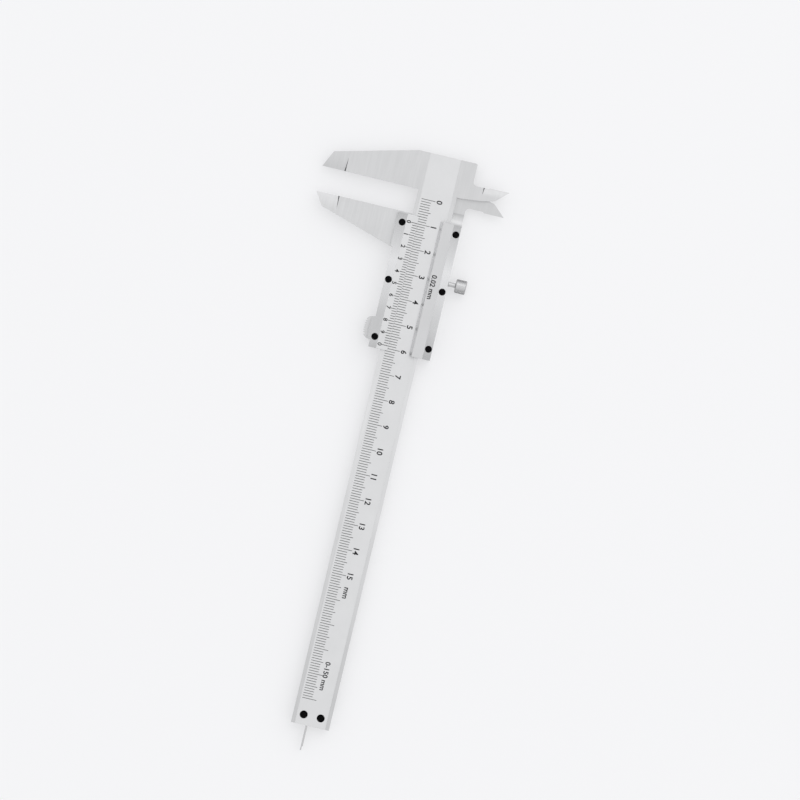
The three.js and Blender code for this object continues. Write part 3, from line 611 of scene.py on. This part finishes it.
def only(*objects):
    """Selects these objects and nothing else, the first one active."""
    bpy.ops.object.select_all(action="DESELECT")
    for each in objects:
        each.select_set(True)
    bpy.context.view_layer.objects.active = objects[0]


def settle():
    """Puts the selected object's place, turn and scale into its mesh."""
    bpy.ops.object.transform_apply(location=True, rotation=True, scale=True)


def apply_modifier(piece, kind, **settings):
    only(piece)
    modifier = piece.modifiers.new(kind.title(), kind)
    for name, value in settings.items():
        setattr(modifier, name, value)
    bpy.ops.object.modifier_apply(modifier=modifier.name)


def dress(piece, *materials):
    piece.data.materials.clear()
    for name in materials:
        piece.data.materials.append(bpy.data.materials[f"{name}_finish"])


def hand_over(piece, body, slot, *nodes):
    """Rides the piece on its body and lets it stand for its CAD nodes."""
    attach(piece, body)
    if nodes:
        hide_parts(*nodes)
    bpy.ops.object.select_all(action="DESELECT")


def break_edges(piece, width, angle=32):
    """A small rounded chamfer on every sharp edge, with the flat faces still flat."""
    apply_modifier(
        piece,
        "BEVEL",
        width=width,
        segments=2,
        limit_method="ANGLE",
        angle_limit=radians(angle),
        miter_outer="MITER_ARC",
    )
    bpy.ops.object.shade_smooth_by_angle(angle=radians(50))
    apply_modifier(piece, "WEIGHTED_NORMAL", keep_sharp=True, weight=80)


def machined_copy(node, name, edge_break):
    """A copy of a CAD node as clean faces with its edges broken."""
    only(frame["nodes"][node])
    frame["nodes"][node].hide_set(False)
    bpy.ops.object.duplicate()
    piece = bpy.context.object
    bpy.ops.object.parent_clear(type="CLEAR_KEEP_TRANSFORM")
    piece.name = piece.data.name = name
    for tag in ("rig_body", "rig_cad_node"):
        del piece[tag]
    bpy.ops.object.mode_set(mode="EDIT")
    bpy.ops.mesh.select_all(action="SELECT")
    bpy.ops.mesh.remove_doubles(threshold=CAD_WELD)
    bpy.ops.mesh.dissolve_limited(angle_limit=radians(0.4))
    bpy.ops.object.mode_set(mode="OBJECT")
    break_edges(piece, edge_break)
    return piece


def paint_faces(piece, choose):
    """Gives each face the material number that choose(centre, normal) returns."""
    for face in piece.data.polygons:
        face.material_index = choose(face.center, face.normal)


def turned_piece(name, profile, centre, axis="Z", sides=64):
    """A turned solid drawn out ring by ring from a disc. profile lists (radius, height)."""
    bpy.ops.object.select_all(action="DESELECT")
    radius, height = profile[0]
    bpy.ops.mesh.primitive_circle_add(
        vertices=sides, radius=radius, fill_type="NGON", location=(0, 0, height)
    )
    piece = bpy.context.object
    piece.name = piece.data.name = name
    settle()
    bpy.ops.object.mode_set(mode="EDIT")
    bpy.ops.mesh.select_all(action="SELECT")
    for (last_radius, last_height), (radius, height) in zip(profile, profile[1:]):
        bpy.ops.mesh.extrude_region_move(
            TRANSFORM_OT_translate={"value": (0, 0, height - last_height)}
        )
        growth = radius / last_radius
        bpy.ops.transform.resize(value=(growth, growth, 1))
    bpy.ops.mesh.select_all(action="SELECT")
    bpy.ops.mesh.remove_doubles(threshold=WELD)
    bpy.ops.mesh.normals_make_consistent(inside=False)
    bpy.ops.object.mode_set(mode="OBJECT")
    if axis == "Y":
        piece.rotation_euler = (-pi / 2, 0, 0)
    piece.location = centre
    settle()
    return piece


def mill_slot(piece, centre, size):
    """Cuts a straight slot out of the piece."""
    bpy.ops.object.select_all(action="DESELECT")
    bpy.ops.mesh.primitive_cube_add(size=1, location=centre)
    cutter = bpy.context.object
    cutter.scale = size
    settle()
    apply_modifier(piece, "BOOLEAN", operation="DIFFERENCE", solver="EXACT", object=cutter)
    bpy.data.objects.remove(cutter)


def flat_mark(size, low_corner):
    """One filled mark as a thin block, from its low corner."""
    bpy.ops.object.select_all(action="DESELECT")
    bpy.ops.mesh.primitive_cube_add(size=1, location=low_corner + size / 2)
    mark = bpy.context.object
    mark.scale = size
    settle()
    return mark


def row_of_marks(width, reach, start, foot, repeats, sizes):
    """Copies of one mark along X. repeats lists (count, pitch), applied one after another."""
    size = Vector((width, reach, sizes.ink_height + sizes.ink_root))
    mark = flat_mark(size, Vector((start - width / 2, foot, -sizes.ink_root)))
    for count, pitch in repeats:
        apply_modifier(
            mark,
            "ARRAY",
            count=count,
            use_relative_offset=False,
            use_constant_offset=True,
            constant_offset_displace=(pitch, 0, 0),
        )
    return mark


def number(text, height, centre_x, base_y, sizes):
    """Lettering as a thin solid, centred on centre_x and standing on base_y."""
    bpy.ops.object.select_all(action="DESELECT")
    bpy.ops.object.text_add()
    letters = bpy.context.object
    letters.data.body = text
    letters.data.size = height
    letters.data.resolution_u = 4
    letters.data.offset = 0.022 * height
    letters.data.extrude = (sizes.ink_height + sizes.ink_root) / 2
    bpy.ops.object.convert(target="MESH")
    letters = bpy.context.object
    xs = [vertex.co.x for vertex in letters.data.vertices]
    ys = [vertex.co.y for vertex in letters.data.vertices]
    zs = [vertex.co.z for vertex in letters.data.vertices]
    growth = height / (max(ys) - min(ys))
    letters.scale = (growth, growth, 1)
    letters.location = (
        centre_x - growth * (min(xs) + max(xs)) / 2,
        base_y - growth * min(ys),
        -sizes.ink_root - min(zs),
    )
    settle()
    return letters


def joined(name, pieces):
    only(*pieces)
    if len(pieces) > 1:
        bpy.ops.object.join()
    piece = bpy.context.object
    piece.name = piece.data.name = name
    bpy.ops.object.mode_set(mode="EDIT")
    bpy.ops.mesh.select_all(action="SELECT")
    bpy.ops.mesh.remove_doubles(threshold=WELD)
    bpy.ops.mesh.normals_make_consistent(inside=False)
    bpy.ops.object.mode_set(mode="OBJECT")
    return piece


def lay_on(piece, origin, lean=0.0):
    """Moves marks made flat round the origin onto a surface that leans about X."""
    only(piece)
    piece.rotation_euler = (lean, 0, 0)
    piece.location = origin
    settle()


def is_measuring_face(centre, normal, face_x, top_z):
    """Whether a face is one of the lapped faces of an outer or inner jaw."""
    beside = abs(centre.y - CENTRE_Y) > JAW_ROOT
    near = abs(centre.x - face_x) < 0.5 * MM or centre.y - CENTRE_Y > INNER_KNIFE
    return beside and near and abs(normal.x) > 0.9 and centre.z < top_z


def is_arm_top(centre, normal):
    """Whether a face is the ground-down top of the moving inner jaw and its arm."""
    half_way = (BEAM_LOW.z + RAIL_Z) / 2
    beside = centre.y > CENTRE_Y + BEAM_HALF + 1 * MM
    return beside and normal.z > 0.995 and abs(centre.z - half_way) < 0.1 * MM


def is_run_out(centre, normal):
    """Whether a face is the short step where a jaw's knife edge starts; these faces get a painted
    shade.
    """
    on_outer = RUN_OUT_OUTER[0] < centre.y - BEAM_LOW.y < RUN_OUT_OUTER[1]
    on_inner = RUN_OUT_INNER[0] < BEAM_HIGH.y - centre.y < RUN_OUT_INNER[1] and normal.y > 0.25
    return (on_outer or on_inner) and 0.05 < normal.z < 0.97 and abs(normal.y) > 0.1


# ---------------------------------------------------------------- operators


class PieceOperator:
    """What every piece's operator shares"""

    bl_options = {"REGISTER", "UNDO"}

    def execute(self, context):
        self.build(context.scene.caliper_sizes)
        return {"FINISHED"}


class CALIPER_OT_materials(bpy.types.Operator):
    """Make the node groups and the materials"""

    bl_idname = "caliper.materials"
    bl_label = "Materials"

    def execute(self, context):
        make_materials(context.scene.caliper_colours)
        return {"FINISHED"}


class CALIPER_OT_beam(PieceOperator, bpy.types.Operator):
    """Finish the beam with its fixed jaws, and the tail stop"""

    bl_idname = "caliper.beam"
    bl_label = "Beam and tail stop"

    def build(self, sizes):
        beam = machined_copy("main_beam", "graduated_beam", sizes.edge_break)
        dress(beam, "beam", "satin", "lapped", "run_out_shade")

        def finish_of(centre, normal):
            if normal.z > 0.99 and abs(centre.z - BAND_Z) < NEAR:
                return 1
            if is_run_out(centre, normal):
                return 3
            return 2 if is_measuring_face(centre, normal, ZERO_X, BEAM_HIGH.z) else 0

        paint_faces(beam, finish_of)
        hand_over(beam, "beam", "ground_steel", "main_beam")
        stop = machined_copy("tail_stop", "tail_stop_plate", sizes.edge_break)
        dress(stop, "ground")
        hand_over(stop, "beam", "ground_steel", "tail_stop")


class CALIPER_OT_beam_scale(PieceOperator, bpy.types.Operator):
    """Engrave the beam's millimetre scale and its numbers"""

    bl_idname = "caliper.beam_scale"
    bl_label = "Beam scale"

    def build(self, sizes):
        foot = -sizes.mark_foot
        width = sizes.mark_width
        half_cm, cm = 5 * MM, 10 * MM
        tens = round(BEAM_RANGE / cm)
        rows = [
            row_of_marks(width, sizes.short_mark, MM, foot, [(4, MM), (2 * tens, half_cm)], sizes),
            row_of_marks(width, sizes.middle_mark, half_cm, foot, [(tens, cm)], sizes),
            row_of_marks(width, sizes.long_mark, 0, foot, [(tens + 1, cm)], sizes),
        ]
        marks = joined("beam_scale_marks", rows)
        base = sizes.number_base
        height = sizes.number_height
        numbers = [number(str(i), height, i * cm, base, sizes) for i in range(16)]
        numbers += [
            number("mm", UNIT_SHARE * height, UNIT_AT, base, sizes),
            number("0-150 mm", RANGE_SHARE * height, RANGE_AT, RANGE_BASE, sizes),
        ]
        labels = joined("beam_scale_numbers", numbers)
        for piece in (marks, labels):
            lay_on(piece, (ZERO_X + sizes.scale_start, CENTRE_Y, BAND_Z))
            dress(piece, "ink")
            hand_over(piece, "beam", "blacked_steel")


class CALIPER_OT_slider_frame(PieceOperator, bpy.types.Operator):
    """Finish the slider frame with its moving jaws and thumb rest"""

    bl_idname = "caliper.slider_frame"
    bl_label = "Slider frame"

    def build(self, sizes):
        body = machined_copy("slider_frame", "slider_frame_body", sizes.edge_break)
        dress(body, "ground", "lapped", "run_out_shade", "arm")

        def finish_of(centre, normal):
            if is_run_out(centre, normal):
                return 2
            if is_arm_top(centre, normal):
                return 3
            return 1 if is_measuring_face(centre, normal, SLIDER_X, SLIDER_TOP) else 0

        paint_faces(body, finish_of)
        hand_over(body, "slider", "ground_steel", "slider_frame")


class CALIPER_OT_plates(PieceOperator, bpy.types.Operator):
    """Finish the vernier plate and the guide plate with their polished screw strips"""

    bl_idname = "caliper.plates"
    bl_label = "Slider plates"

    def build(self, sizes):
        for node, name, screw, inward, band in (
            ("vernier_plate", "vernier_scale_plate", "plate_screw_lower_1", 1, "satin"),
            ("guide_plate", "beam_guide_plate", "plate_screw_upper_1", -1, "matt"),
        ):
            plate = machined_copy(node, name, sizes.plate_break)
            dress(plate, "strip", band, "chamfer")
            strip_edge = middle(screw).y + inward * sizes.strip_width / 2

            def finish_of(centre, normal, strip_edge=strip_edge, inward=inward):
                if (centre.y - strip_edge) * inward < 0 or normal.z < 0.1:
                    return 0
                return 1 if normal.z > 0.85 else 2

            paint_faces(plate, finish_of)
            hand_over(plate, "slider", "satin_chrome", node)


class CALIPER_OT_vernier_scale(PieceOperator, bpy.types.Operator):
    """Engrave the vernier on its bevel, and the resolution on the guide plate"""

    bl_idname = "caliper.vernier_scale"
    bl_label = "Vernier scale"

    def build(self, sizes):
        strip_y = middle("plate_screw_lower_1").y + sizes.strip_width / 2
        run = VERNIER_HIGH.y - strip_y
        lip_z = VERNIER_LOW.z + sizes.vernier_lip
        rise = VERNIER_HIGH.z - sizes.strip_step - lip_z
        slope = hypot(run, rise)
        pitch = sizes.vernier_pitch
        width = sizes.vernier_width
        short_foot = -VERNIER_EDGE - sizes.vernier_mark
        long_foot = -VERNIER_EDGE - sizes.vernier_long
        rows = [
            row_of_marks(
                width, sizes.vernier_mark, pitch, short_foot, [(4, pitch), (10, 5 * pitch)], sizes
            ),
            row_of_marks(width, sizes.vernier_long, 0, long_foot, [(11, 5 * pitch)], sizes),
        ]
        marks = joined("vernier_marks", rows)
        base = (long_foot - slope - sizes.vernier_number) / 2
        numbers = [
            number(str(i % 10), sizes.vernier_number, i * 5 * pitch, base, sizes) for i in range(11)
        ]
        labels = joined("vernier_numbers", numbers)
        for piece in (marks, labels):
            lay_on(
                piece, (SLIDER_X + sizes.scale_start, VERNIER_HIGH.y, lip_z), -atan2(rise, run)
            )
            dress(piece, "ink")
            hand_over(piece, "slider", "blacked_steel")

        foot_y = GUIDE_LOW.y + sizes.guide_chamfer
        top_y = middle("plate_screw_upper_1").y - sizes.strip_width / 2
        fall = atan2(sizes.guide_slope, top_y - foot_y)
        height = RESOLUTION_SHARE * (top_y - foot_y)
        label = joined("resolution_label", [number("0.02 mm", height, 0, 0, sizes)])
        label_y = foot_y + RESOLUTION_BASE
        drop = sizes.guide_slope * (top_y - label_y) / (top_y - foot_y)
        label_z = GUIDE_HIGH.z - sizes.strip_step - drop
        lay_on(label, (SLIDER_X + RESOLUTION_AT, label_y, label_z), fall)
        dress(label, "ink")
        hand_over(label, "slider", "blacked_steel")


def slotted_screw(node, name, shank, sizes, upright=1, angle=0.0):
    """A countersunk screw in the place of its CAD node. upright is -1 for a head that faces down."""
    low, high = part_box(node)
    centre = (low + high) / 2
    reach = high.z - low.z
    radius = (high.x - low.x) / 2
    profile = [
        (shank - SCREW_POINT, -reach),
        (shank, SCREW_POINT - reach),
        (shank, shank - radius - SCREW_RIM),
        (radius, -SCREW_RIM),
        (radius, -HEAD_FALL),
        (radius - HEAD_CHAMFER, 0),
    ]
    screw = turned_piece(name, profile, (0, 0, 0), sides=48)
    mill_slot(screw, (0, 0, 0), (4 * radius, sizes.slot_width, 2 * sizes.slot_depth))
    break_edges(screw, HEAD_BREAK, 40)
    only(screw)
    screw.rotation_euler = (0 if upright == 1 else pi, 0, angle)
    screw.location = (centre.x, centre.y, high.z if upright == 1 else low.z)
    settle()
    return screw


class CALIPER_OT_screws(PieceOperator, bpy.types.Operator):
    """Turn and slot the plate screws and the tail screws"""

    bl_idname = "caliper.screws"
    bl_label = "Plate and tail screws"

    def build(self, sizes):
        for node, angle in zip(PLATE_SCREWS + TAIL_SCREWS, PLATE_TURNS):
            screw = slotted_screw(node, f"{node}_blacked", SCREW_SHANK, sizes, angle=angle)
            dress(screw, "blacked")
            body = "beam" if node in TAIL_SCREWS else "slider"
            hand_over(screw, body, "blacked_steel", node)


class CALIPER_OT_gib(PieceOperator, bpy.types.Operator):
    """Finish the leaf spring and turn its two set screws"""

    bl_idname = "caliper.gib"
    bl_label = "Leaf spring and set screws"

    def build(self, sizes):
        spring = machined_copy("leaf_spring", "gib_leaf_spring", 0.04 * MM)
        dress(spring, "bronze")
        hand_over(spring, "slider", "spring_bronze", "leaf_spring")
        for node in GIB_SCREWS:
            low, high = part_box(node)
            centre = (low + high) / 2
            radius = (high.z - low.z) / 2
            reach = high.y - low.y
            start = GIB_POINT_REACH + GIB_THREAD - reach
            profile = [
                (radius - GIB_POINT, -reach),
                (radius - GIB_THREAD / 2, GIB_POINT_REACH - reach),
                *thread_profile(radius, GIB_THREAD, start, -GIB_PITCH / 2, GIB_PITCH),
                (radius - GIB_THREAD, 0),
            ]
            screw = turned_piece(f"{node}_slotted", profile, (centre.x, high.y, centre.z), "Y", 40)
            mill_slot(
                screw, (centre.x, high.y, centre.z), (4 * radius, 2 * sizes.slot_depth, GIB_SLOT)
            )
            bpy.ops.object.shade_smooth_by_angle(angle=radians(20))
            dress(screw, "blacked")
            hand_over(screw, "slider", "blacked_steel", node)


class CALIPER_OT_depth_rod(PieceOperator, bpy.types.Operator):
    """Finish the depth rod and turn the screws that hold its tab"""

    bl_idname = "caliper.depth_rod"
    bl_label = "Depth rod"

    def build(self, sizes):
        rod = machined_copy("depth_rod", "depth_measuring_rod", 0.06 * MM)
        dress(rod, "rod")
        hand_over(rod, "slider", "polished_steel", "depth_rod")
        for node, angle in zip(ROD_SCREWS, ROD_TURNS):
            screw = slotted_screw(node, f"{node}_slotted", ROD_SCREW_SHANK, sizes, -1, angle)
            dress(screw, "polished")
            hand_over(screw, "slider", "polished_steel", node)


def thread_profile(radius, depth, start, end, pitch):
    """Crest and root rings of a thread from start to end."""
    turns = int((end - start) / pitch)
    rings = []
    for i in range(turns):
        height = start + i * pitch
        crest = [(radius, height + share * pitch) for share in (0.4, 0.6)]
        rings += [(radius - depth, height), *crest]
    return rings + [(radius - depth, start + turns * pitch)]


class CALIPER_OT_clamp(PieceOperator, bpy.types.Operator):
    """Turn the clamp stud and its diamond-knurled knob"""

    bl_idname = "caliper.clamp"
    bl_label = "Clamp screw"

    def build(self, sizes):
        self.stud(sizes)
        self.knob(sizes)

    def stud(self, sizes):
        low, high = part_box("clamp_stud")
        centre = (low + high) / 2
        radius = (high.z - low.z) / 2
        depth = sizes.thread_depth
        threaded = WALL_Y + THREAD_SHOWS - low.y
        profile = [
            (radius - STUD_POINT, 0),
            (radius - depth, SCREW_POINT),
            *thread_profile(radius, depth, SCREW_POINT + 0.1 * MM, threaded, sizes.thread_pitch),
            (STUD_SHANK, threaded + SCREW_POINT),
            (STUD_SHANK, high.y - low.y),
        ]
        stud = turned_piece("clamp_stud_threaded", profile, (centre.x, low.y, centre.z), "Y", 56)
        bpy.ops.object.shade_smooth_by_angle(angle=radians(20))
        dress(stud, "knob")
        hand_over(stud, "clamp_screw", "polished_steel", "clamp_stud")

    def knob(self, sizes):
        low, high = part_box("clamp_knob")
        centre = (low + high) / 2
        radius = (high.z - low.z) / 2
        reach = high.y - low.y
        rows = sizes.knurl_rows
        step = (reach - 2 * KNOB_COLLAR) / rows
        crest = radius - NEAR
        profile = [
            (KNOB_BORE, KNOB_BORE_REACH),
            (KNOB_BORE, 0),
            (radius - KNOB_CHAMFER, 0),
            (crest - NEAR, KNOB_CHAMFER_REACH),
            *((crest, KNOB_COLLAR + i * step) for i in range(rows + 1)),
            (crest - NEAR, reach - KNOB_CHAMFER_REACH),
            (radius - KNOB_CHAMFER, reach),
            (0.55 * radius, reach),
            (0.5 * radius, reach - KNOB_DISH),
        ]
        knob = turned_piece("clamp_knob_knurled", profile, (0, 0, 0), sides=sizes.knurl_columns)
        self.knurl(knob, radius, step, rows, sizes)
        only(knob)
        knob.rotation_euler = (-pi / 2, 0, 0)
        knob.location = (centre.x, low.y, centre.z)
        settle()
        bpy.ops.object.shade_smooth_by_angle(angle=radians(12))
        dress(knob, "knob")
        hand_over(knob, "clamp_grip", "polished_steel", "clamp_knob")

    def knurl(self, knob, radius, step, rows, sizes):
        """Presses in every other point of the grid, which leaves crossed ridges."""
        turn = 2 * pi / sizes.knurl_columns
        for vertex in knob.data.vertices:
            height = vertex.co.z - KNOB_COLLAR
            row = round(height / step)
            level = abs(height - row * step) < NEAR
            outer = hypot(vertex.co.x, vertex.co.y) > radius - 1.5 * NEAR
            column = round(atan2(vertex.co.y, vertex.co.x) / turn)
            pressed = level and outer and 0 <= row <= rows and (row + column) % 2
            vertex.select = bool(pressed)
        for edge in knob.data.edges:
            edge.select = False
        for face in knob.data.polygons:
            face.select = False
        only(knob)
        bpy.ops.object.mode_set(mode="EDIT")
        bpy.ops.mesh.select_mode(type="VERT")
        inward = 1 - sizes.knurl_depth / radius
        bpy.ops.transform.resize(value=(inward, inward, 1), center_override=(0, 0, 0))
        bpy.ops.object.mode_set(mode="OBJECT")


class CALIPER_OT_stage(bpy.types.Operator):
    """Lay the floor and set up the studio light and the camera"""

    bl_idname = "caliper.stage"
    bl_label = "Stage"

    def execute(self, context):
        scene = context.scene
        bpy.ops.object.select_all(action="DESELECT")
        bpy.ops.mesh.primitive_plane_add(size=FLOOR_SIZE, location=(0, 0, 0))
        floor = context.object
        floor.name = "floor"
        dress(floor, "floor")

        self.sky(scene)
        scene.view_settings.view_transform = "Standard"
        self.softbox("key", KEY_PLACE, KEY_SIZE, KEY_POWER)

        camera = bpy.data.cameras.new("camera")
        camera.lens = LENS
        distance = VIEW_WIDTH * LENS / camera.sensor_width
        camera.clip_start = 0.1
        camera.clip_end = 20
        eye = bpy.data.objects.new("camera", camera)
        scene.collection.objects.link(eye)
        eye.location = (ZERO_X + VIEW_AHEAD, CENTRE_Y + VIEW_ASIDE, distance + RAIL_Z)
        eye.rotation_euler = (0, 0, radians(VIEW_TURN))
        scene.camera = eye
        return {"FINISHED"}

    def sky(self, scene):
        """A pale surround, brightest overhead and towards the key light."""
        world = bpy.data.worlds.new("studio")
        world.use_nodes = True
        tree = world.node_tree
        backdrop = tree.nodes["Background"]
        backdrop.inputs["Color"].default_value = (0.985, 0.99, 1.0, 1)
        direction = tree.nodes.new("ShaderNodeTexCoord")
        towards = tree.nodes.new("ShaderNodeVectorMath")
        towards.operation = "DOT_PRODUCT"
        towards.inputs[1].default_value = Vector((-0.35, 0.25, 1)).normalized()
        wire(tree, direction.outputs["Generated"], towards.inputs[0])
        wire(
            tree,
            between(tree, towards.outputs["Value"], -0.5, 1.0, 0.45, 1.07),
            backdrop.inputs["Strength"],
        )
        scene.world = world

    def softbox(self, name, place, size, power):
        """A square light that faces the caliper."""
        bpy.ops.object.select_all(action="DESELECT")
        bpy.ops.object.light_add(type="AREA", location=place)
        lamp = bpy.context.object
        lamp.name = name
        lamp.data.size = size
        lamp.data.energy = power
        lamp.rotation_euler = (-Vector(place)).to_track_quat("-Z", "Y").to_euler()


PIECE_OPERATORS = (
    CALIPER_OT_materials,
    CALIPER_OT_beam,
    CALIPER_OT_beam_scale,
    CALIPER_OT_slider_frame,
    CALIPER_OT_plates,
    CALIPER_OT_vernier_scale,
    CALIPER_OT_screws,
    CALIPER_OT_gib,
    CALIPER_OT_depth_rod,
    CALIPER_OT_clamp,
    CALIPER_OT_stage,
)


class CALIPER_PT_pieces(bpy.types.Panel):
    """Every operator that builds the caliper, in order"""

    bl_idname = "CALIPER_PT_pieces"
    bl_label = "Vernier Caliper"
    bl_space_type = "VIEW_3D"
    bl_region_type = "UI"
    bl_category = "Caliper"

    def draw(self, context):
        for operator in PIECE_OPERATORS:
            self.layout.operator(operator.bl_idname)


CLASSES = (CaliperSizes, CaliperColours, *PIECE_OPERATORS, CALIPER_PT_pieces)


def register():
    for each in CLASSES:
        bpy.utils.register_class(each)
    bpy.types.Scene.caliper_sizes = bpy.props.PointerProperty(type=CaliperSizes)
    bpy.types.Scene.caliper_colours = bpy.props.PointerProperty(type=CaliperColours)


def unregister():
    del bpy.types.Scene.caliper_colours
    del bpy.types.Scene.caliper_sizes
    for each in reversed(CLASSES):
        bpy.utils.unregister_class(each)


def main():
    register()
    for operator in PIECE_OPERATORS:
        group, action = operator.bl_idname.split(".")
        getattr(getattr(bpy.ops, group), action)()


if __name__ == "__main__":
    main()
